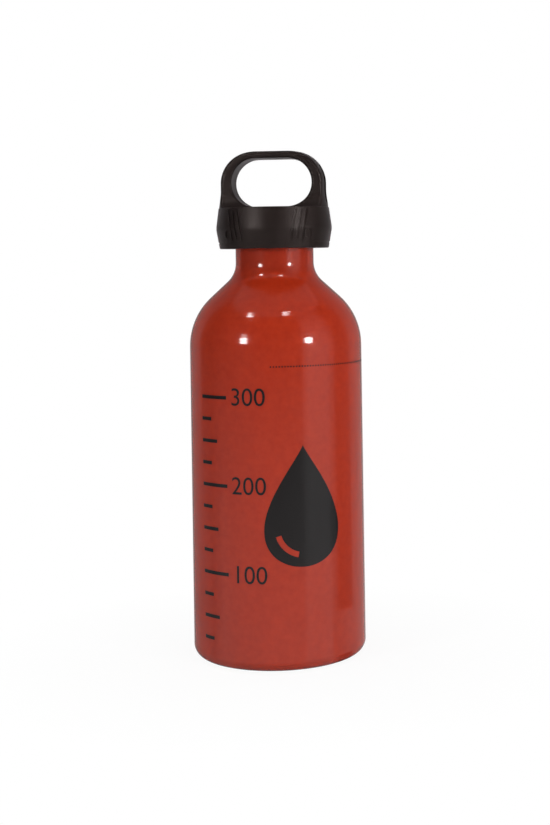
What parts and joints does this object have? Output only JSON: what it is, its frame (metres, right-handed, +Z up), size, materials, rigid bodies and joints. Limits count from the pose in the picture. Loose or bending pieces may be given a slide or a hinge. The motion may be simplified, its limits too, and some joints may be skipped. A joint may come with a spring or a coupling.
{
  "type": "camping fuel bottle",
  "caption": "Red lacquered aluminium fuel bottle with a sloping shoulder, closed by a black push-and-turn screw cap with a fixed carry loop.",
  "frame": {"origin": "middle of the foot, on the surface that the bottle stands on", "axes": "+Z up the bottle's axis to the cap, X along the carry loop's width, -Y towards the front"},
  "size_m": [0.065, 0.065, 0.19],
  "materials": {
    "lacquered_aluminium": "semi-gloss red lacquer over aluminium",
    "plug_plastic": "plain moulded black",
    "seal_rubber": "smooth moulded rubber",
    "spring_steel": "bright drawn wire",
    "cap_plastic": "fine satin moulded black"
  },
  "bodies": {
    "bottle": {"bottle_shell": "lacquered_aluminium"},
    "seal": {"mouth_seal": "seal_rubber"},
    "plug": {"threaded_plug": "plug_plastic"},
    "spring": {"return_spring": "spring_steel"},
    "cover": {"cap_cover": "cap_plastic"}
  },
  "joints": [
    {"name": "cap_lift", "type": "slide", "parent": "bottle", "child": "seal", "axis": [0, 0, 1], "range_m": [0, 0.012]},
    {"name": "cap_turn", "type": "hinge", "parent": "seal", "child": "plug", "pos_m": [0, 0, 0.15], "axis": [0, 0, 1], "range_deg": [0, 1440]},
    {"name": "cover_slip", "type": "hinge", "parent": "plug", "child": "spring", "pos_m": [0, 0, 0.15], "axis": [0, 0, 1], "continuous": true},
    {"name": "cover_press", "type": "slide", "parent": "spring", "child": "cover", "axis": [0, 0, 1], "range_m": [-0.0018, 0], "stiffness_N_per_m": 2000, "springref_m": 0.003, "deforming": ["return_spring"]}
  ],
  "couplings": [
    {"joint": "cap_lift", "follows": "cap_turn", "m_per_rad": 0.00047746}
  ]
}
